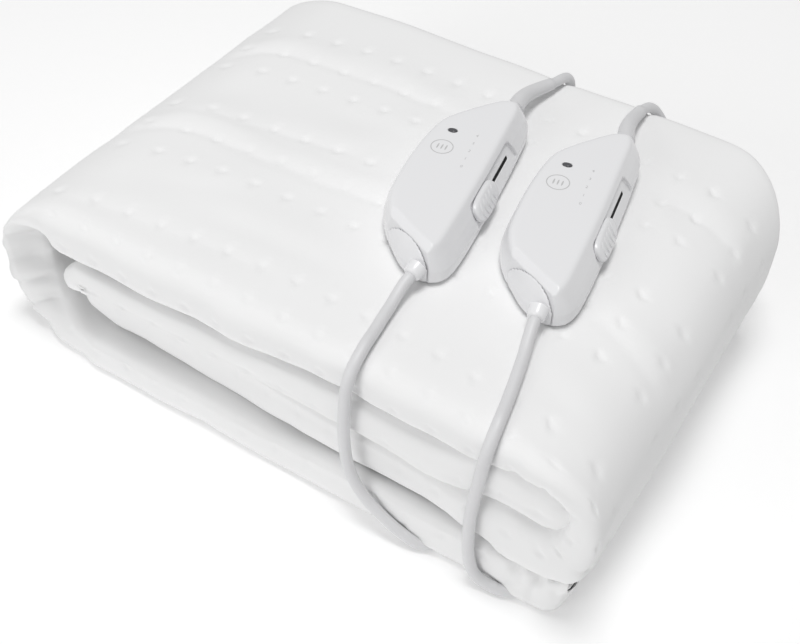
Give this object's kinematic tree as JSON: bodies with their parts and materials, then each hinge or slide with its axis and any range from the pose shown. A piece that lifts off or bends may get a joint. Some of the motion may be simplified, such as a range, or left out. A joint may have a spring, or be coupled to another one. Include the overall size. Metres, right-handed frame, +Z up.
{
  "type": "folded electric heated blanket with slider handsets and mains leads",
  "caption": "White electric underblanket folded into a soft rectangular pack, with slider handsets on top, leads over the front and coiled mains leads with plugs behind.",
  "frame": {"origin": "on the surface it rests on, under the middle of the folded blanket with the handsets' front leads", "axes": "+X along the long folded face, +Y from the front face to the back, +Z up"},
  "size_m": [0.3799, 0.3977, 0.1395],
  "materials": {
    "fleece": "soft brushed white fleece with small spot welds",
    "shell": "smooth satin white moulded plastic",
    "lead": "smooth white flexible PVC",
    "lamp": "small dark indicator lens",
    "tie": "plain plastic band",
    "pin": "nickel plated"
  },
  "bodies": {
    "root": {"blanket": "fleece", "left_housing": "shell", "left_nose_cap": "shell", "left_lamp": "lamp", "left_lead_collar": "lead", "left_neck_sleeve": "lead", "left_front_lead": "lead", "left_mains_lead": "lead", "left_coil": "lead", "left_tie": "tie", "left_plug_tail": "lead", "left_plug": "shell", "left_plug_pin_near": "pin", "left_plug_pin_far": "pin", "right_housing": "shell", "right_nose_cap": "shell", "right_lamp": "lamp", "right_lead_collar": "lead", "right_neck_sleeve": "lead", "right_front_lead": "lead", "right_mains_lead": "lead", "right_coil": "lead", "right_tie": "tie", "right_plug_tail": "lead", "right_plug": "shell", "right_plug_pin_near": "pin", "right_plug_pin_far": "pin"},
    "left_slider": {"left_slider": "shell"},
    "right_slider": {"right_slider": "shell"}
  },
  "joints": [
    {"name": "left_slide", "type": "slide", "parent": "root", "child": "left_slider", "axis": [-0.1822, 0.9833, 0], "range_m": [0, 0.028]},
    {"name": "right_slide", "type": "slide", "parent": "root", "child": "right_slider", "axis": [-0.1771, 0.9842, 0], "range_m": [0, 0.028]}
  ]
}
